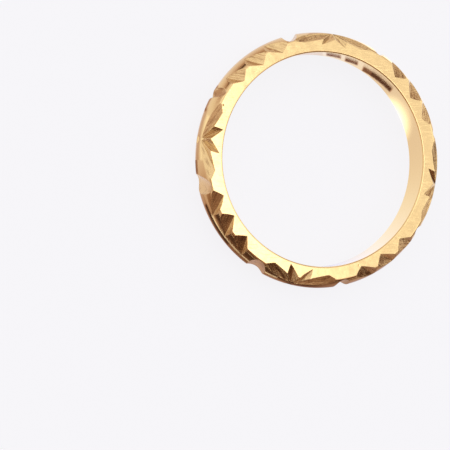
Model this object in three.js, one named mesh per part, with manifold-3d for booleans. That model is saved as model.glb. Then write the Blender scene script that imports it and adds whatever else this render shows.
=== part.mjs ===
// Carved stacking ring, lying flat on its side
// One solid gold band with a domed wall. Eight panels are cut into the wall by a graver,
// four with three darts and four with a star, and a rounded scoop parts each two panels.
// Millimetres and degrees, +Z up, origin under the middle of the finger hole.

import * as THREE from 'three';
import { ConvexGeometry } from 'three/addons/geometries/ConvexGeometry.js';
import { mergeVertices } from 'three/addons/utils/BufferGeometryUtils.js';
import Module from 'manifold-3d';

// Driving sizes of the plain band
const boreRadius = 8.6;
const bandWidth = 2.85;
const sideWall = 1.22;
const domeRise = 0.48;
const boreEdgeRound = 0.09;
const rimEdgeRound = 0.16;

// Driving sizes of the cutting
const scoopRadius = 0.64;
const scoopDepth = 0.51;
const crestLand = 1.15;
const starHub = 0.12;
const dartGather = 0.93;

// The eight panels in order round the band, with angles counted from +X
// middle: the middle dart's tip or the star's middle, spread: widens the angles between cuts
// lean: how far the cuts turn from the middle on their way to the crest, bite: deepens the cuts
// scoop: where the scoop that ends the panel meets the top, slant: its turn from there down
// girth: widens the scoop
const panels = [
  { kind: 'darts', middle: 34, spread: 1.02, lean: 5.3, bite: 0.93, scoop: 60.2, slant: 0, girth: 1 },
  { kind: 'star', middle: 84.1, spread: 1.03, lean: 0, bite: 0.66, scoop: 105.8, slant: -4, girth: 1 },
  { kind: 'darts', middle: 124.5, spread: 1, lean: 4.6, bite: 0.93, scoop: 148.1, slant: 2.4, girth: 0.7 },
  { kind: 'star', middle: 171, spread: 0.98, lean: 0.2, bite: 1, scoop: 193, slant: -3.5, girth: 1.3 },
  { kind: 'darts', middle: 210.7, spread: 0.95, lean: 6.2, bite: 1.13, scoop: 236.2, slant: 3.6, girth: 1.4 },
  { kind: 'star', middle: 256.9, spread: 1, lean: -1.6, bite: 1.03, scoop: 279.9, slant: 0, girth: 1 },
  { kind: 'darts', middle: 302.4, spread: 1, lean: 5.3, bite: 0.99, scoop: 325.2, slant: 0, girth: 1 },
  { kind: 'star', middle: 348.8, spread: 1.07, lean: 0, bite: 0.75, scoop: 12.6, slant: 0, girth: 1 },
];

// The cuts of one panel, with angles counted from its middle
// tip: where the groove's bottom leaves the side face, start and end: where its two flanks
// leave the side face at its edge, depth: the tip's distance from the rim as a share of sideWall
const cutsOfKind = {
  darts: [
    { tip: -12.3, start: -15.2, end: -7.1, depth: 0.56 },
    { tip: -0.2, start: -3.2, end: 5.0, depth: 0.66 },
    { tip: 12.9, start: 9.6, end: 16.7, depth: 0.58 },
  ],
  star: [
    { tip: -14.0, start: -16.6, end: -7.2, depth: 0.41 },
    { tip: -6.0, start: -5.8, end: -1.1, depth: 0.78 },
    { tip: 6.4, start: 0.8, end: 5.0, depth: 0.75 },
    { tip: 15.2, start: 6.6, end: 17.6, depth: 0.41 },
  ],
};

// How finely the round forms are faceted
const turnSegments = 144;
const domeSegments = 8;
const roundSegments = 2;
const scoopSegments = 32;
const weldDistance = 1e-4;

// Sizes that follow from the driving ones
const rimRadius = boreRadius + sideWall;
const faceRadius = rimRadius - rimEdgeRound;
const crestRadius = rimRadius + domeRise;
const midHeight = bandWidth / 2;

// The axis that a cylinder is made along
const rodAxis = new THREE.Vector3(0, 1, 0);

// How far a cutter reaches outward past the metal, and its length as a share of the cut's
const cutterOverrun = sideWall / 3;
const sideOverrun = 1.15;

// A point by its angle round the band, its distance from the axis and its height
function polar(angle, radius, height) {
  const turn = THREE.MathUtils.degToRad(angle);
  return new THREE.Vector3(radius * Math.cos(turn), radius * Math.sin(turn), height);
}

// Radius of the domed wall at a height above the floor
function domeRadius(height) {
  const offCrest = (height - midHeight) / midHeight;
  return crestRadius - domeRise * offCrest * offCrest;
}

// The softened edge between one side face and the dome, from the face outward
function rimEdge(side) {
  const height = side + Math.sign(midHeight - side) * rimEdgeRound;
  const onFace = new THREE.Vector2(faceRadius, side);
  const corner = new THREE.Vector2(rimRadius, side);
  const onDome = new THREE.Vector2(domeRadius(height), height);
  return new THREE.QuadraticBezierCurve(onFace, corner, onDome).getPoints(roundSegments);
}

// Section of the plain band as a closed outline: radius from the axis, height above the floor
function bandSection() {
  const outline = rimEdge(0);
  for (let step = 1; step < domeSegments; step += 1) {
    const height = rimEdgeRound + (bandWidth - 2 * rimEdgeRound) * (step / domeSegments);
    outline.push(new THREE.Vector2(domeRadius(height), height));
  }
  outline.push(...rimEdge(bandWidth).reverse());
  for (const upper of [true, false]) {
    for (let step = 0; step <= roundSegments; step += 1) {
      const turn = (Math.PI / 2) * (step / roundSegments);
      const inward = boreEdgeRound * Math.sin(upper ? turn : Math.PI / 2 - turn);
      const toSide = boreEdgeRound * Math.cos(upper ? turn : Math.PI / 2 - turn);
      const radius = boreRadius + boreEdgeRound - inward;
      const height = upper ? bandWidth - boreEdgeRound + toSide : boreEdgeRound - toSide;
      outline.push(new THREE.Vector2(radius, height));
    }
  }
  outline.push(outline[0].clone());
  return outline;
}

// The plain band before any cut, turned from its section
function plainBand() {
  const band = new THREE.LatheGeometry(bandSection(), turnSegments);
  return band.rotateX(Math.PI / 2);
}

// A graver cut is a V groove from a point at the crest down to its tip on one side face
// side is the height of that face, and crestPoint is where the groove starts
function graverCutter(crestPoint, side, tip, start, end, depth) {
  const tipRadius = rimRadius - depth;
  const outreach = (crestRadius + cutterOverrun - tipRadius) / (faceRadius - tipRadius);
  const tipPoint = polar(tip, tipRadius, side);
  const bottom = crestPoint.clone().lerp(tipPoint, sideOverrun);
  const corners = [start, end].map((angle) => {
    const facePoint = polar(angle, faceRadius, side);
    const flank = crestPoint.clone().lerp(facePoint, sideOverrun);
    return bottom.clone().lerp(flank, outreach);
  });
  return new ConvexGeometry([crestPoint, bottom, ...corners]);
}

// Height at which the cuts of one side start, at the edge of the strip left along the crest
function startHeight(side) {
  return midHeight + Math.sign(side - midHeight) * (crestLand / 2);
}

// Where a star's ray starts: on a small hub round the star's centre, on the line to its tip
function rayStart(panel, side, tip) {
  const centre = panel.middle + panel.lean;
  const height = startHeight(side);
  const along = crestRadius * THREE.MathUtils.degToRad(tip - centre);
  const across = side - height;
  const share = starHub / Math.hypot(along, across);
  const hubHeight = height + share * across;
  return polar(centre + share * (tip - centre), domeRadius(hubHeight), hubHeight);
}

// Where a dart starts: darts lie a little closer together at the crest than at their tips
function dartStart(panel, side, tip) {
  const height = startHeight(side);
  const angle = panel.middle + panel.lean + dartGather * (tip - panel.middle);
  return polar(angle, domeRadius(height), height);
}

// All graver cuts of one panel, on both sides of the crest
function panelCutters(panel) {
  const startOf = panel.kind === 'star' ? rayStart : dartStart;
  const cutters = [];
  for (const side of [0, bandWidth]) {
    for (const cut of cutsOfKind[panel.kind]) {
      const place = (angle) => panel.middle + panel.spread * angle;
      const tip = place(cut.tip);
      const depth = sideWall * cut.depth * panel.bite;
      const crestPoint = startOf(panel, side, tip);
      cutters.push(graverCutter(crestPoint, side, tip, place(cut.start), place(cut.end), depth));
    }
  }
  return cutters;
}

// A scoop is a round groove across the wall
function scoopCutter(panel) {
  const radius = scoopRadius * panel.girth;
  const axisRadius = crestRadius - scoopDepth + radius;
  const top = polar(panel.scoop, axisRadius, bandWidth);
  const foot = polar(panel.scoop + panel.slant, axisRadius, 0);
  const length = top.distanceTo(foot) + 2 * cutterOverrun;
  const rod = new THREE.CylinderGeometry(radius, radius, length, scoopSegments);
  const along = top.clone().sub(foot).normalize();
  rod.applyQuaternion(new THREE.Quaternion().setFromUnitVectors(rodAxis, along));
  const centre = top.add(foot).divideScalar(2);
  return rod.translate(centre.x, centre.y, centre.z);
}

const wasm = await Module();
wasm.setup();

// A geometry as a solid that can be cut
function toSolid(geometry) {
  const bare = geometry.clone();
  bare.deleteAttribute('normal');
  bare.deleteAttribute('uv');
  const welded = mergeVertices(bare, weldDistance);
  return new wasm.Manifold(new wasm.Mesh({
    numProp: 3,
    vertProperties: welded.attributes.position.array,
    triVerts: Uint32Array.from(welded.index.array),
  }));
}

// A solid as a geometry again
function toGeometry(solid) {
  const mesh = solid.getMesh();
  const geometry = new THREE.BufferGeometry();
  geometry.setAttribute('position', new THREE.BufferAttribute(mesh.vertProperties, mesh.numProp));
  geometry.setIndex(new THREE.BufferAttribute(mesh.triVerts, 1));
  geometry.computeVertexNormals();
  return geometry;
}

// The carved band: the plain band less every cut and scoop
function carvedBand() {
  let band = toSolid(plainBand());
  for (const panel of panels) {
    for (const cutter of [...panelCutters(panel), scoopCutter(panel)]) {
      band = band.subtract(toSolid(cutter));
    }
  }
  return toGeometry(band);
}

const gold = new THREE.MeshStandardMaterial({ color: 0xe2b565, roughness: 0.18, metalness: 1.0 });

const ring = new THREE.Group();
const band = new THREE.Mesh(carvedBand(), gold);
band.name = 'carved_band';
ring.add(band);

export default ring;
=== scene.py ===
import math

import bmesh
import bpy
from mathutils import Matrix, Vector


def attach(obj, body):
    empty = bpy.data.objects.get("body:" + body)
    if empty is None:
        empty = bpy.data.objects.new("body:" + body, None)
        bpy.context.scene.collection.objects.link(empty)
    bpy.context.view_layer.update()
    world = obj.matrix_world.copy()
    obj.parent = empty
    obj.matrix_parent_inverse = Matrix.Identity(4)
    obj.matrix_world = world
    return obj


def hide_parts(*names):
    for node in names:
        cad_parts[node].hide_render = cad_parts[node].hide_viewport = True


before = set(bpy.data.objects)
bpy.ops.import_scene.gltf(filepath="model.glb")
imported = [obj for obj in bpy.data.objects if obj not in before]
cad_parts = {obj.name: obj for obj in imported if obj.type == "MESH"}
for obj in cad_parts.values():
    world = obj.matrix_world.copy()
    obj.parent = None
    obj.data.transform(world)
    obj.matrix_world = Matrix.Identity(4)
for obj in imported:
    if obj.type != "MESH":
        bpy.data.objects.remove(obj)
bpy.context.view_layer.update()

# The plain band
# A seamless ring of yellow gold, turned to a straight bore, two flat sides and a domed outside.
# Every edge is softened by polishing. It is modelled in millimetres until the cuts are made.
PER_METRE = 1000
BORE_RADIUS = 8.6
BAND_WIDTH = 2.85
RIM_RADIUS = BORE_RADIUS + 1.22
DOME_RISE = 0.48
BORE_EDGE_ROUND = 0.12
RIM_EDGE_ROUND = 0.16
FACE_RADIUS = RIM_RADIUS - RIM_EDGE_ROUND
CREST_RADIUS = RIM_RADIUS + DOME_RISE
MID_HEIGHT = BAND_WIDTH / 2

TURNED_FACETS = 480
DOME_FACETS = 36
RIM_EDGE_FACETS = 8
BORE_EDGE_FACETS = 6
WELD = 1e-5

# The two finishes of the gold, in the order of their slots on the band and on every cutter
POLISHED = 0
BRIGHT_CUT = 1


def crown_at(height):
    """How far the dome stands out past the rim at a height above the floor."""
    off_crest = (height - MID_HEIGHT) / MID_HEIGHT
    return DOME_RISE * (1 - off_crest * off_crest)


def on_band(angle, radius, height):
    """A point by its angle round the band in degrees, its distance from the axis and its height."""
    turn = math.radians(angle)
    return Vector((radius * math.cos(turn), radius * math.sin(turn), height))


def unlinked_object(name, bm):
    """Turn a bmesh into an object, without putting it into the scene yet."""
    mesh = bpy.data.meshes.new(name)
    bm.to_mesh(mesh)
    bm.free()
    return bpy.data.objects.new(name, mesh)


blank = bmesh.new()
corners = [
    blank.verts.new((radius, 0, height))
    for radius, height in (
        (BORE_RADIUS, 0), (RIM_RADIUS, 0), (RIM_RADIUS, BAND_WIDTH), (BORE_RADIUS, BAND_WIDTH)
    )
]
blank.faces.new(corners)
rim_corners = corners[1:3]
bore_corners = [corners[0], corners[3]]
for pair, softening, facets in (
    (rim_corners, RIM_EDGE_ROUND, RIM_EDGE_FACETS), (bore_corners, BORE_EDGE_ROUND, BORE_EDGE_FACETS)
):
    bmesh.ops.bevel(
        blank, geom=pair, offset=softening, segments=facets, profile=0.5, affect="VERTICES",
        material=-1,
    )
outer_wall = [
    edge for edge in blank.edges
    if min(v.co.x for v in edge.verts) > FACE_RADIUS and edge.calc_length() > MID_HEIGHT
]
bmesh.ops.subdivide_edges(blank, edges=outer_wall, cuts=DOME_FACETS - 1)
for vert in blank.verts:
    if vert.co.x > (BORE_RADIUS + RIM_RADIUS) / 2:
        vert.co.x += crown_at(vert.co.z)
bmesh.ops.delete(blank, geom=blank.faces[:], context="FACES_ONLY")
bmesh.ops.spin(
    blank, geom=blank.verts[:] + blank.edges[:], cent=(0, 0, 0), axis=(0, 0, 1), dvec=(0, 0, 0),
    angle=math.tau, steps=TURNED_FACETS, use_merge=True,
)
bmesh.ops.remove_doubles(blank, verts=blank.verts[:], dist=WELD)
bmesh.ops.recalc_face_normals(blank, faces=blank.faces[:])
blank.loops.layers.uv.new("stroke")
band = unlinked_object("bright_cut_band", blank)
bpy.context.scene.collection.objects.link(band)

# The bright cuts
# Each is one stroke of a graver in the gold: a V groove that starts in a point near the crest and
# runs out through the side face. Darts lie in threes, and a star is four rays from one point.
SIDE_WALL = RIM_RADIUS - BORE_RADIUS
CREST_LAND = 1.15
STAR_HUB = 0.12
DART_GATHER = 0.93

# How far a cutter reaches out past the metal, and its length as a share of the cut's
OVERRUN = SIDE_WALL / 3
SIDE_OVERRUN = 1.15

# The most that a flank is hollowed and that a stroke's bottom sags, and how finely that is shaped
HOLLOW = 0.06
SAG = 0.035
STROKE_CUTS = 9
TOUCHING = 1e-6

# How far apart in the pattern of the grain the cuts lie, so that no two look alike
GRAIN_STEP = 8.5

# The eight panels, with angles in degrees from +X: middle, spread and lean place the strokes, and
# bite deepens them. The scoop that ends a panel meets the top at scoop, with its slant and girth.
PANELS = [
    dict(kind="darts", middle=34, spread=1.02, lean=5.3, bite=0.93, scoop=60.2, slant=0, girth=1),
    dict(kind="star", middle=84.1, spread=1.03, lean=0, bite=0.66, scoop=105.8, slant=-4, girth=1),
    dict(kind="darts", middle=124.5, spread=1, lean=4.6, bite=0.93, scoop=148.1, slant=2.4, girth=0.7),
    dict(kind="star", middle=171, spread=0.98, lean=0.2, bite=1, scoop=193, slant=-3.5, girth=1.3),
    dict(kind="darts", middle=210.7, spread=0.95, lean=6.2, bite=1.13, scoop=236.2, slant=3.6, girth=1.4),
    dict(kind="star", middle=256.9, spread=1, lean=-1.6, bite=1.03, scoop=279.9, slant=0, girth=1),
    dict(kind="darts", middle=302.4, spread=1, lean=5.3, bite=0.99, scoop=325.2, slant=0, girth=1),
    dict(kind="star", middle=348.8, spread=1.07, lean=0, bite=0.75, scoop=12.6, slant=0, girth=1),
]

# Degrees from the panel's middle: where a stroke's bottom leaves the side face, and where its
# two flanks do. The last number is the bottom's depth there, as a share of the side wall.
STROKES = {
    "darts": [(-12.3, -15.2, -7.1, 0.56), (-0.2, -3.2, 5.0, 0.66), (12.9, 9.6, 16.7, 0.58)],
    "star": [
        (-14.0, -16.6, -7.2, 0.41), (-6.0, -5.8, -1.1, 0.78),
        (6.4, 0.8, 5.0, 0.75), (15.2, 6.6, 17.6, 0.41),
    ],
}


def start_height(side):
    """Height where the strokes of one side start, at the edge of the strip left along the crest."""
    return MID_HEIGHT + math.copysign(CREST_LAND / 2, side - MID_HEIGHT)


def ray_start(panel, side, tip):
    """Where a star's ray starts: on a small hub round the star's middle."""
    middle = panel["middle"] + panel["lean"]
    height = start_height(side)
    share = STAR_HUB / math.hypot(CREST_RADIUS * math.radians(tip - middle), side - height)
    height += share * (side - height)
    return on_band(middle + share * (tip - middle), RIM_RADIUS + crown_at(height), height)


def dart_start(panel, side, tip):
    """Where a dart starts: darts lie a little closer together at the crest than at their tips."""
    height = start_height(side)
    angle = panel["middle"] + panel["lean"] + DART_GATHER * (tip - panel["middle"])
    return on_band(angle, RIM_RADIUS + crown_at(height), height)


def stroke_cutter(crest_point, side, tip, start, end, depth, count):
    """The wedge of metal that one stroke takes away, with its grain laid along the stroke."""
    tip_radius = RIM_RADIUS - depth
    outreach = (CREST_RADIUS + OVERRUN - tip_radius) / (FACE_RADIUS - tip_radius)
    bottom = crest_point.lerp(on_band(tip, tip_radius, side), SIDE_OVERRUN)
    tops = []
    for angle in (start, end):
        flank = crest_point.lerp(on_band(angle, FACE_RADIUS, side), SIDE_OVERRUN)
        tops.append(bottom.lerp(flank, outreach))
    wedge = bmesh.new()
    for point in [crest_point, bottom] + tops:
        wedge.verts.new(point)
    bmesh.ops.convex_hull(wedge, input=wedge.verts[:])
    bmesh.ops.recalc_face_normals(wedge, faces=wedge.faces[:])
    path = bottom - crest_point
    between = (tops[0] + tops[1]) / 2
    deeper = (bottom - between).normalized()
    bmesh.ops.subdivide_edges(wedge, edges=wedge.edges[:], cuts=STROKE_CUTS, use_grid_fill=True)
    for vert in wedge.verts:
        reach = vert.co - crest_point
        for top in tops:
            outward = path.cross(top - crest_point).normalized()
            if outward.dot(between - crest_point) > 0:
                outward.negate()
            if abs(reach.dot(outward)) > TOUCHING:
                continue
            across = path.cross(outward)
            up = reach.dot(across) / (top - crest_point).dot(across)
            along = (reach - up * (top - crest_point)).dot(path) / path.length_squared + up
            share = up / along if along > TOUCHING else 0
            flanks_here = 2 if share < TOUCHING else 1
            vert.co += outward * (HOLLOW * along * 4 * share * (1 - share))
            vert.co += deeper * (SAG * 4 * along * (1 - along) * (1 - share)) / flanks_here
    along = path.normalized()
    stroke = wedge.loops.layers.uv.new("stroke")
    for face in wedge.faces:
        face.material_index = BRIGHT_CUT
        across = face.normal.cross(along).normalized()
        for loop in face.loops:
            reach = loop.vert.co - crest_point
            loop[stroke].uv = (reach.dot(across) + GRAIN_STEP * count, reach.dot(along))
    return unlinked_object(f"stroke_{count:02d}", wedge)


cutters = []
for panel in PANELS:
    start_of = ray_start if panel["kind"] == "star" else dart_start
    for side in (0, BAND_WIDTH):
        for *angles, depth in STROKES[panel["kind"]]:
            tip, start, end = (panel["middle"] + panel["spread"] * angle for angle in angles)
            crest_point = start_of(panel, side, tip)
            depth *= SIDE_WALL * panel["bite"]
            cutters.append(stroke_cutter(crest_point, side, tip, start, end, depth, len(cutters)))

# The scoops
# Rounded grooves that part the panels. A round-nosed tool cuts each one into the gold, straight
# across the dome from side to side.
SCOOP_RADIUS = 0.64
SCOOP_DEPTH = 0.51
SCOOP_FACETS = 96

# The streaks that a round tool leaves are softer, so its grain is drawn out to this share
ROUND_TOOL_GRAIN = 0.25

for panel in PANELS:
    radius = SCOOP_RADIUS * panel["girth"]
    axis_radius = CREST_RADIUS - SCOOP_DEPTH + radius
    top = on_band(panel["scoop"], axis_radius, BAND_WIDTH)
    foot = on_band(panel["scoop"] + panel["slant"], axis_radius, 0)
    length = (top - foot).length + 2 * OVERRUN
    rod = bmesh.new()
    bmesh.ops.create_cone(
        rod, cap_ends=True, segments=SCOOP_FACETS, radius1=radius, radius2=radius, depth=length
    )
    stroke = rod.loops.layers.uv.new("stroke")
    for face in rod.faces:
        face.material_index = BRIGHT_CUT
        middle = face.calc_center_median()
        for loop in face.loops:
            turn = math.atan2(middle.y, middle.x)
            off = (loop.vert.co.y * math.cos(turn) - loop.vert.co.x * math.sin(turn)) / radius
            across = ROUND_TOOL_GRAIN * radius * (turn + off) + GRAIN_STEP * len(cutters)
            loop[stroke].uv = (across, loop.vert.co.z)
    turn = Vector((0, 0, 1)).rotation_difference(top - foot).to_matrix().to_4x4()
    bmesh.ops.transform(rod, matrix=Matrix.Translation((top + foot) / 2) @ turn, verts=rod.verts[:])
    cutters.append(unlinked_object(f"scoop_{len(cutters):02d}", rod))

# The dimples
# Shallow round hollows in the gold, one on the crest at the middle of each star. They are drilled
# with a ball-ended tool.
DIMPLE_RADIUS = 0.6
DIMPLE_DEPTH = 0.18
DIMPLE_FACETS = 64

for panel in PANELS:
    if panel["kind"] == "star":
        ball = bmesh.new()
        bmesh.ops.create_uvsphere(
            ball, u_segments=DIMPLE_FACETS, v_segments=DIMPLE_FACETS // 2, radius=DIMPLE_RADIUS
        )
        stroke = ball.loops.layers.uv.new("stroke")
        for face in ball.faces:
            face.material_index = BRIGHT_CUT
            for loop in face.loops:
                across = ROUND_TOOL_GRAIN * loop.vert.co.x + GRAIN_STEP * len(cutters)
                loop[stroke].uv = (across, loop.vert.co.z)
        ball_radius = CREST_RADIUS + DIMPLE_RADIUS - DIMPLE_DEPTH
        ball_middle = on_band(panel["middle"] + panel["lean"], ball_radius, MID_HEIGHT)
        bmesh.ops.translate(ball, vec=ball_middle, verts=ball.verts[:])
        cutters.append(unlinked_object(f"dimple_{len(cutters):02d}", ball))


# The finishes
# The gold is polished all over, and the cuts are left as the graver leaves them. Each finish is
# one material whose marks are raised on it as relief.
GOLD = (0.95, 0.7, 0.32, 1)
GOLD_IN_GOLD = (0.97, 0.85, 0.62, 1)
PIT_COLOUR = (0.45, 0.27, 0.1, 1)
# The brown of the painted shade in the bottoms of the streaks and deep inside the cuts
FURROW_SHADE_COLOUR = (0.3, 0.13, 0.05, 1)

# Roughness varies over each finish between these
POLISHED_ROUGHNESS = (0.07, 0.14)
CUT_ROUGHNESS = (0.1, 0.24)

# The radius of softened edges, the depths of the marks and the reach of the cuts' own shade, all
# in millimetres
EDGE_SOFTNESS = 0.07
WHEEL_MARK_DEPTH = 0.0035
WORN_LINE_DEPTH = 0.007
HAIRLINE_DEPTH = 0.0012
PIT_DEPTH = 0.01
STREAK_DEPTH = 0.04
RIB_DEPTH = 0.0016
SHADE_REACH = 0.5

# How close together the marks lie across and along their own direction, and how far ribs wander
WORN_LINES_ACROSS = 11.0
WORN_LINES_ALONG = 3.0
HAIRLINES_ALONG = 0.7
STREAKS_ACROSS = 5.5
STREAKS_ALONG = 0.9
RIBS_ALONG = 34.0
RIB_WANDER = 14.0

# The radius at the middle of the side faces, and how far from it the worn lines start
SIDE_MIDDLE = 9.15
SIDE_CLEAR = 0.5


def bare_metal(name):
    """A metal surface that has no marks, colour or roughness of its own yet."""
    made = bpy.data.materials.new(name)
    made.use_nodes = True
    made.node_tree.nodes["Principled BSDF"].inputs["Metallic"].default_value = 1
    return made


def add_node(made, kind, inputs=(), **settings):
    """A node in a material, with its settings and with values or links for its inputs."""
    node = made.node_tree.nodes.new(kind)
    for name, value in settings.items():
        setattr(node, name, value)
    for name, value in dict(inputs).items():
        if isinstance(value, bpy.types.NodeSocket):
            made.node_tree.links.new(value, node.inputs[name])
        else:
            node.inputs[name].default_value = value
    return node


def reckon(made, operation, first, second=0.0, third=0.0):
    """The result of one sum on numbers or on other results."""
    inputs = {0: first, 1: second, 2: third}
    return add_node(made, "ShaderNodeMath", inputs, operation=operation).outputs[0]


def millimetres(made):
    """Places on the piece, in millimetres."""
    inputs = {
        "Vector": add_node(made, "ShaderNodeTexCoord").outputs["Object"],
        "Scale": (PER_METRE, PER_METRE, PER_METRE),
    }
    return add_node(made, "ShaderNodeMapping", inputs).outputs["Vector"]


def speckle(made, vector, scale, detail=2.0, roughness=0.5):
    """Cloudy noise from 0 to 1, with so many grains to a millimetre."""
    inputs = {"Vector": vector, "Scale": scale, "Detail": detail, "Roughness": roughness}
    return add_node(made, "ShaderNodeTexNoise", inputs).outputs["Fac"]


def ease(made, value, low, high, to_low=0.0, to_high=1.0):
    """A value carried smoothly from one range to another."""
    inputs = {"Value": value, "From Min": low, "From Max": high, "To Min": to_low, "To Max": to_high}
    return add_node(made, "ShaderNodeMapRange", inputs, interpolation_type="SMOOTHSTEP").outputs["Result"]


def softened_edges(made):
    """Edges that polishing has rounded."""
    inputs = {"Radius": EDGE_SOFTNESS / PER_METRE}
    return add_node(made, "ShaderNodeBevel", inputs, samples=6).outputs["Normal"]


def relief(made, height, depth, over):
    """Marks of a depth in millimetres, raised over softened edges or over other marks."""
    inputs = {"Height": height, "Distance": depth / PER_METRE, "Strength": 1.0, "Normal": over}
    return add_node(made, "ShaderNodeBump", inputs).outputs["Normal"]


def mirrored_paler(made):
    """The colour of the gold, a little paler where more gold mirrors it."""
    path = add_node(made, "ShaderNodeLightPath").outputs
    colours = {0: path["Is Glossy Ray"], 6: GOLD, 7: GOLD_IN_GOLD}
    return add_node(made, "ShaderNodeMix", colours, data_type="RGBA").outputs[2]


# Polished gold: a faint unevenness from the wheel, hairline scratches and a few pits all over, and
# fine lines round the bore and the dome where the ring turns as it is worn.
polished_gold = bare_metal("polished_gold")
place = millimetres(polished_gold)
axes = add_node(polished_gold, "ShaderNodeSeparateXYZ", {"Vector": place}).outputs
span = reckon(polished_gold, "POWER", axes["X"], 2.0)
span = reckon(polished_gold, "ADD", span, reckon(polished_gold, "POWER", axes["Y"], 2.0))
span = reckon(polished_gold, "SQRT", span)
rounds = reckon(polished_gold, "ARCTAN2", axes["Y"], axes["X"])
lines_place = add_node(
    polished_gold, "ShaderNodeCombineXYZ", {
        "X": reckon(polished_gold, "MULTIPLY", rounds, WORN_LINES_ALONG),
        "Y": reckon(polished_gold, "MULTIPLY", axes["Z"], WORN_LINES_ACROSS),
        "Z": reckon(polished_gold, "MULTIPLY", span, WORN_LINES_ACROSS),
    }
).outputs["Vector"]
lines = speckle(polished_gold, lines_place, scale=1.0, detail=3.0, roughness=0.6)
off_middle = reckon(polished_gold, "ABSOLUTE", reckon(polished_gold, "SUBTRACT", span, SIDE_MIDDLE))
on_wall = ease(polished_gold, off_middle, SIDE_CLEAR, SIDE_CLEAR + 0.1)
lines = reckon(polished_gold, "MULTIPLY", lines, on_wall)
wheel_marks = speckle(polished_gold, place, scale=1.1)
soft_shape = relief(polished_gold, wheel_marks, WHEEL_MARK_DEPTH, softened_edges(polished_gold))
soft_shape = relief(polished_gold, lines, WORN_LINE_DEPTH, soft_shape)


def hairs(turn, stretch):
    """Thin scratches in one direction, drawn as noise that is squeezed across it."""
    squeezed = add_node(
        polished_gold, "ShaderNodeMapping",
        {"Vector": place, "Rotation": (0, 0, turn), "Scale": (HAIRLINES_ALONG, stretch, 1.0)},
    ).outputs["Vector"]
    return ease(polished_gold, speckle(polished_gold, squeezed, scale=1.0, roughness=0.6), 0.66, 0.74)


hairlines = reckon(polished_gold, "ADD", hairs(0.5, 16.0), hairs(1.9, 22.0))
hairlines = reckon(polished_gold, "MULTIPLY", hairlines, -1.0)
soft_shape = relief(polished_gold, hairlines, HAIRLINE_DEPTH, soft_shape)
cells = add_node(polished_gold, "ShaderNodeTexVoronoi", {"Vector": place, "Scale": 0.4})
pits = ease(polished_gold, cells.outputs["Distance"], 0.012, 0.045)
soft_shape = relief(polished_gold, pits, PIT_DEPTH, soft_shape)
polish = polished_gold.node_tree.nodes["Principled BSDF"]
haze = speckle(polished_gold, place, scale=2.3, detail=3.0, roughness=0.6)
haze = ease(polished_gold, haze, 0.3, 0.75, *POLISHED_ROUGHNESS)
polished_gold.node_tree.links.new(haze, polish.inputs["Roughness"])
polish_colour = add_node(
    polished_gold, "ShaderNodeMix",
    {0: pits, 6: PIT_COLOUR, 7: mirrored_paler(polished_gold)}, data_type="RGBA",
).outputs[2]
polished_gold.node_tree.links.new(polish_colour, polish.inputs["Base Color"])
polished_gold.node_tree.links.new(soft_shape, polish.inputs["Normal"])

# Bright-cut gold: the graver leaves streaks along each stroke, and short ribs across it where it
# chattered. The bottoms of the streaks are painted browner as shade, the more so deep inside a cut.
bright_cut_gold = bare_metal("bright_cut_gold")
stroke_place = add_node(bright_cut_gold, "ShaderNodeUVMap", uv_map="stroke").outputs["UV"]
stroke_axes = add_node(bright_cut_gold, "ShaderNodeSeparateXYZ", {"Vector": stroke_place}).outputs
streak_place = add_node(
    bright_cut_gold, "ShaderNodeMapping",
    {"Vector": stroke_place, "Scale": (STREAKS_ACROSS, STREAKS_ALONG, 1.0)},
).outputs["Vector"]
streaks = speckle(bright_cut_gold, streak_place, scale=1.0, detail=4.0, roughness=0.62)
cut_shape = relief(bright_cut_gold, streaks, STREAK_DEPTH, softened_edges(bright_cut_gold))
wander = speckle(bright_cut_gold, stroke_place, scale=1.6)
chatter = reckon(bright_cut_gold, "MULTIPLY", wander, RIB_WANDER)
chatter = reckon(bright_cut_gold, "MULTIPLY_ADD", stroke_axes["Y"], RIBS_ALONG, chatter)
ribs = reckon(bright_cut_gold, "SINE", chatter)
ribs = reckon(bright_cut_gold, "MULTIPLY", ribs, ease(bright_cut_gold, wander, 0.45, 0.62))
cut_shape = relief(bright_cut_gold, ribs, RIB_DEPTH, cut_shape)
cut_shader = bright_cut_gold.node_tree.nodes["Principled BSDF"]
# Painted shade: the cut's colour goes brown in the bottoms of the streaks, and more so where ambient
# occlusion finds the cut closed in
furrow_shade = ease(bright_cut_gold, streaks, 0.36, 0.52, 0.6, 1.0)
openness = add_node(
    bright_cut_gold, "ShaderNodeAmbientOcclusion", {"Distance": SHADE_REACH / PER_METRE}, samples=6,
    only_local=True,
).outputs["AO"]
openness = ease(bright_cut_gold, openness, 0.25, 0.9, 0.75, 1.0)
furrow_shade = reckon(bright_cut_gold, "MULTIPLY", furrow_shade, openness)
cut_colour_and_shade = add_node(
    bright_cut_gold, "ShaderNodeMix",
    {0: furrow_shade, 6: FURROW_SHADE_COLOUR, 7: mirrored_paler(bright_cut_gold)}, data_type="RGBA",
).outputs[2]
bright_cut_gold.node_tree.links.new(cut_colour_and_shade, cut_shader.inputs["Base Color"])
dulling = ease(bright_cut_gold, streaks, 0.35, 0.7, *CUT_ROUGHNESS)
bright_cut_gold.node_tree.links.new(dulling, cut_shader.inputs["Roughness"])
bright_cut_gold.node_tree.links.new(cut_shape, cut_shader.inputs["Normal"])

# The carved band
# The gold ring itself, once the strokes, scoops and dimples have been cut from the blank. The rest
# of the turned surface keeps its own smooth facing, so that no cut disturbs its shine.

# Edges that turn by more degrees than this stay sharp, and a face is level if its normal is this
# much upright or more
SHARP_ANGLE = 14
LEVEL = 0.9999

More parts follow.
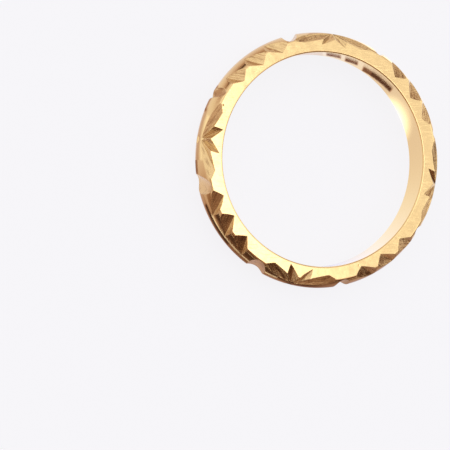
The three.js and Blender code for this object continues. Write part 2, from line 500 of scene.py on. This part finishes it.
for item in [band] + cutters:
    item.data.materials.append(polished_gold)
    item.data.materials.append(bright_cut_gold)
for cutter in cutters:
    bpy.context.scene.collection.objects.link(cutter)
    cut = band.modifiers.new(cutter.name, "BOOLEAN")
    cut.operation = "DIFFERENCE"
    cut.solver = "MANIFOLD"
    cut.object = cutter
depsgraph = bpy.context.evaluated_depsgraph_get()
cut_mesh = bpy.data.meshes.new_from_object(band.evaluated_get(depsgraph))
band.modifiers.clear()
band.data = cut_mesh
for cutter in cutters:
    bpy.data.objects.remove(cutter)
cut_mesh.transform(Matrix.Scale(1 / PER_METRE, 4))
cut_mesh.polygons.foreach_set("use_smooth", [True] * len(cut_mesh.polygons))
cut_mesh.set_sharp_from_angle(angle=math.radians(SHARP_ANGLE))


def turned_normal(point):
    """The way the turned band faces at a point of its surface, with the cuts left out."""
    radius = math.hypot(point.x, point.y) * PER_METRE
    height = point.z * PER_METRE
    upward = math.copysign(1, height - MID_HEIGHT)
    to_side = MID_HEIGHT - abs(height - MID_HEIGHT)
    if radius < BORE_RADIUS + BORE_EDGE_ROUND:
        out, up = radius - BORE_RADIUS - BORE_EDGE_ROUND, max(BORE_EDGE_ROUND - to_side, 0)
    else:
        out, up = max(radius - crown_at(height) - FACE_RADIUS, 0), max(RIM_EDGE_ROUND - to_side, 0)
        up += out * 2 * DOME_RISE * abs(height - MID_HEIGHT) / MID_HEIGHT**2
    share = out * PER_METRE / radius
    return Vector((point.x * share, point.y * share, up * upward)).normalized()


facing = [corner.vector.copy() for corner in cut_mesh.corner_normals]
for polygon in cut_mesh.polygons:
    if polygon.material_index == POLISHED:
        for loop in polygon.loop_indices:
            level = abs(polygon.normal.z) > LEVEL
            point = cut_mesh.vertices[cut_mesh.loops[loop].vertex_index].co
            facing[loop] = polygon.normal.copy() if level else turned_normal(point)
cut_mesh.normals_split_custom_set(facing)
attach(band, "root")
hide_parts("carved_band")

# The floor
# A plain pale sheet of paper, lit and glowing so evenly that it shows hardly any shadow. To the gold's
# reflections it shows painted light instead: brighter inside the ring and dimmer outside.
FLOOR_SIZE = 2
FLOOR_GAP = 0.01

# The paper's own colour, and the even glow that takes the place of most of its shading
PAPER = (0.93, 0.93, 0.947, 1)
GLOW = (0.938, 0.938, 0.964, 1)
GLOW_STRENGTH = 1.03
GLOW_SHARE = 0.88

# The light that the gold mirrors from the floor where no spot or arc changes it, and its limits
FLOOR_LIGHT = 0.84
BRIGHTEST_FLOOR = 4.2
DIMMEST = 0.07

# The colour that light has at an amount of it, from dim to bright
TINTS = (
    (0, (1, 0.5, 0.42)), (0.12, (1, 0.46, 0.36)), (0.25, (1, 0.53, 0.4)), (0.45, (1, 0.65, 0.56)),
    (0.65, (1, 0.79, 0.82)), (0.85, (1, 0.93, 1.0)), (1, (1, 0.98, 1.04)),
)

# Round spots that the gold mirrors: the middle, the radius where the spot starts to fade and the
# radius where it has gone, in millimetres, and the change in light
SPOTS = (
    (-14.2, -16.8, 5, 20, -0.93), (6.3, -22.6, 12.4, 16.2, -0.57), (3.9, -6.9, 0.7, 9.6, 0.34),
    (9.0, 12.8, 2.5, 7.2, 0.6), (-12.1, 18.6, 3.2, 12.7, -0.68),
)

# One spot is far brighter than the rest, but from the first of these distances from the ring's
# axis to the second it sinks to a small share, under the band
BRIGHT_SPOT = (10.0, 4.8, 0.8, 3.7, 4.2)
BRIGHT_TO = 8.8
SUNK_BY = 9.3
SUNK_SHARE = 0.08

# Around one spot inside the ring the light is cooler, and its last number is a share of this tint
COOL = (0.9, 0.98, 1.2, 1)
COOL_SPOT = (3.0, -8.0, 1.0, 9.0, 1)

# Arcs about the ring's axis that the gold mirrors: the angle and half the turn in degrees, the
# distance from the axis, half the width and the fade in millimetres, the change in light, and how
# many millimetres the arc moves outward in each degree of its turn
ARCS = (
    (49, 9, 8.19, 0.15, 0.08, -0.74, 0.016), (66, 3, 8.31, 0.09, 0.07, -0.78, 0.018),
    (76.5, 3.4, 8.39, 0.06, 0.06, -0.75, 0.009), (150, 6, 10.6, 0.4, 0.3, -0.35, 0),
    (212, 10, 11.3, 0.3, 0.5, -0.35, 0), (230, 22, 12.2, 0.12, 0.22, 0.8, 0),
    (240.5, 4, 10.0, 0.3, 0.2, 0.14, 0), (191, 4, 10.3, 0.4, 0.3, 0.12, 0),
    (85.5, 4, 14.8, 2.6, 1.5, -0.25, 0), (172, 14, 14.4, 1.3, 0.8, 0.22, 0),
    (320, 12, 18, 5.5, 1.5, -0.25, 0), (290, 9, 21, 6, 2, -0.12, 0),
    (127, 8, 22, 6, 2, -0.2, 0), (68, 14, 8.3, 0.6, 0.3, 0.12, 0),
    (181, 5, 10.3, 0.6, 0.4, -0.4, 0), (170, 14, 11.1, 0.5, 0.4, -0.2, 0),
    (203, 10, 12.8, 0.5, 0.4, 0.2, 0), (222, 14, 13.6, 0.4, 0.3, 0.12, 0),
)
ARC_END_FADE = 1.5

bpy.ops.mesh.primitive_plane_add(size=FLOOR_SIZE, location=(0, 0, -FLOOR_GAP / PER_METRE))
floor = bpy.context.object
floor.name = "floor"
sheet = bpy.data.materials.new("pale_sheet")
sheet.use_nodes = True
sheet_place = millimetres(sheet)


def warm_light(made, amount):
    """Light of one amount: white where it is bright, and browner the dimmer it is."""
    tint = add_node(made, "ShaderNodeValToRGB", {"Fac": amount})
    for at, colour in TINTS[1:-1]:
        tint.color_ramp.elements.new(at).color = (*colour, 1)
    for end in (0, -1):
        tint.color_ramp.elements[end].color = (*TINTS[end][1], 1)
    scaled = add_node(
        made, "ShaderNodeVectorMath", {0: tint.outputs["Color"], "Scale": amount}, operation="SCALE"
    )
    return scaled.outputs["Vector"]


def kept_within(made, amount, brightest):
    """An amount of light that is never dimmer or brighter than the set can give."""
    inputs = {"Value": amount, "Min": DIMMEST, "Max": brightest}
    return add_node(made, "ShaderNodeClamp", inputs).outputs["Result"]


def round_spot(x, y, inner, outer, change):
    """A change that is whole up to one distance from a point of the sheet and has gone by another."""
    inputs = {0: sheet_place, 1: (x, y, 0)}
    gap = add_node(sheet, "ShaderNodeVectorMath", inputs, operation="DISTANCE").outputs["Value"]
    return ease(sheet, gap, inner, outer, change, 0)


amount = FLOOR_LIGHT
for spot in SPOTS:
    amount = reckon(sheet, "ADD", amount, round_spot(*spot))
sheet_axes = add_node(sheet, "ShaderNodeSeparateXYZ", {"Vector": sheet_place}).outputs
from_middle = add_node(
    sheet, "ShaderNodeVectorMath", {0: sheet_place}, operation="LENGTH"
).outputs["Value"]
bright = round_spot(*BRIGHT_SPOT)
sinking = ease(sheet, from_middle, BRIGHT_TO, SUNK_BY, 1, SUNK_SHARE)
amount = reckon(sheet, "ADD", amount, reckon(sheet, "MULTIPLY", bright, sinking))
about = reckon(sheet, "ARCTAN2", sheet_axes["Y"], sheet_axes["X"])
about = reckon(sheet, "MULTIPLY", about, math.degrees(1))
for angle, half_turn, distance, half_width, fade, change, lean in ARCS:
    turned = reckon(sheet, "SUBTRACT", about, angle if angle < 180 else angle - 360)
    swing = reckon(sheet, "ABSOLUTE", turned)
    swing = ease(sheet, swing, half_turn, half_turn + ARC_END_FADE, 1, 0)
    if lean:
        distance = reckon(sheet, "MULTIPLY_ADD", turned, lean, distance)
    shift = reckon(sheet, "ABSOLUTE", reckon(sheet, "SUBTRACT", from_middle, distance))
    shift = ease(sheet, shift, half_width, half_width + fade, change, 0)
    amount = reckon(sheet, "ADD", amount, reckon(sheet, "MULTIPLY", swing, shift))
amount = kept_within(sheet, amount, BRIGHTEST_FLOOR)
cooled = add_node(
    sheet, "ShaderNodeMix", {0: round_spot(*COOL_SPOT), 6: (1, 1, 1, 1), 7: COOL}, data_type="RGBA"
).outputs[2]
mirrored_light = add_node(
    sheet, "ShaderNodeVectorMath", {0: warm_light(sheet, amount), 1: cooled}, operation="MULTIPLY"
).outputs["Vector"]
mirrored = add_node(sheet, "ShaderNodeEmission", {"Color": mirrored_light})
glow = add_node(sheet, "ShaderNodeEmission", {"Color": GLOW, "Strength": GLOW_STRENGTH})
paper = sheet.node_tree.nodes["Principled BSDF"]
paper.inputs["Base Color"].default_value = PAPER
paper.inputs["Roughness"].default_value = 1
paper.inputs["Specular IOR Level"].default_value = 0
lit = add_node(
    sheet, "ShaderNodeMixShader",
    {"Fac": GLOW_SHARE, 1: paper.outputs["BSDF"], 2: glow.outputs["Emission"]},
)
# Painted light: the gold's reflections see the patterned glow of spots and arcs in place of the paper
path = add_node(sheet, "ShaderNodeLightPath").outputs
both = add_node(
    sheet, "ShaderNodeMixShader",
    {"Fac": path["Is Glossy Ray"], 1: lit.outputs["Shader"], 2: mirrored.outputs["Emission"]},
)
sheet_output = sheet.node_tree.nodes["Material Output"]
sheet.node_tree.links.new(both.outputs["Shader"], sheet_output.inputs["Surface"])
floor.data.materials.append(sheet)

# The studio
# A soft white tent with a bright roof panel, and dark towards the front where it is open.
TENT_LIGHT = 0.53
BRIGHTEST_TENT = 3.0

# Round patches of the tent, in degrees: the azimuth, the turn down from straight up, and how far
# from there the patch starts to fade and has gone. The last number is the change in light.
PATCHES = (
    (357, 13.4, 6.2, 9, 1.5), (290.6, 138.1, 83.4, 100, -0.39), (295, 37.2, 15.7, 34, -0.44),
    (152.3, 35.5, 3.1, 28.6, -0.08), (220.4, 39.2, 13.8, 41.5, -0.38),
    (51.5, 79.1, 1.8, 18.6, -0.9), (36.5, 99.9, 25.4, 54.4, 0.5), (121.4, 97.3, 5, 18.6, -0.13),
    (245.7, 14.4, 8.5, 114, 0.42), (31.4, 67.6, 3.1, 8.5, -0.19), (352.3, 49.6, 9.2, 27, 0.41),
    (344, 79, 8, 15, -0.35), (268, 64, 34, 44, -0.27), (92, 68, 9, 17, -0.25),
    (15, 52, 9, 20, 0.13), (270, 42, 8, 13, 0.33), (353, 82.5, 2, 4.5, -0.2),
    (358, 88.5, 1.5, 3, -0.25), (341, 80, 1.5, 3.5, -0.1), (60, 81, 4, 9, -0.15),
    (140, 49, 8, 18, 0.1), (143, 50, 7, 14, 0.14), (184, 80, 6, 11, 0.14),
)

tent = bpy.data.worlds.new("tent")
bpy.context.scene.world = tent
tent.use_nodes = True
ray = add_node(tent, "ShaderNodeTexCoord").outputs["Generated"]
amount = TENT_LIGHT
for *angles, change in PATCHES:
    azimuth, zenith, inner, outer = (math.radians(angle) for angle in angles)
    flat = math.sin(zenith)
    towards = (flat * math.cos(azimuth), flat * math.sin(azimuth), math.cos(zenith))
    nearness = add_node(
        tent, "ShaderNodeVectorMath", {0: ray, 1: towards}, operation="DOT_PRODUCT"
    ).outputs["Value"]
    patch = ease(tent, nearness, math.cos(outer), math.cos(inner), 0, change)
    amount = reckon(tent, "ADD", amount, patch)
tent_light = warm_light(tent, kept_within(tent, amount, BRIGHTEST_TENT))
tent.node_tree.links.new(tent_light, tent.node_tree.nodes["Background"].inputs["Color"])

# The camera
# It looks from where the photo was taken. Its place is counted in metres along the camera's own
# axes from the middle of the upper side face, and its turns are in radians.
CAMERA_PLACE = Vector((-0.00794088, -0.00526005, 0.22))
CAMERA_TILT = -0.02176593
CAMERA_LEAN = 0.33796997
SENSOR_WIDTH = 36
LENS = 219.65

camera = bpy.data.objects.new("camera", bpy.data.cameras.new("camera"))
bpy.context.scene.collection.objects.link(camera)
turn = Matrix.Rotation(CAMERA_LEAN, 3, "Y") @ Matrix.Rotation(CAMERA_TILT, 3, "X")
turn.transpose()
seat = turn @ CAMERA_PLACE + Vector((0, 0, BAND_WIDTH / PER_METRE))
camera.matrix_world = Matrix.Translation(seat) @ turn.to_4x4()
camera.data.sensor_width = SENSOR_WIDTH
camera.data.lens = LENS
camera.data.clip_start = 0.01
camera.data.clip_end = 10
bpy.context.scene.camera = camera
bpy.context.scene.view_settings.view_transform = "Standard"
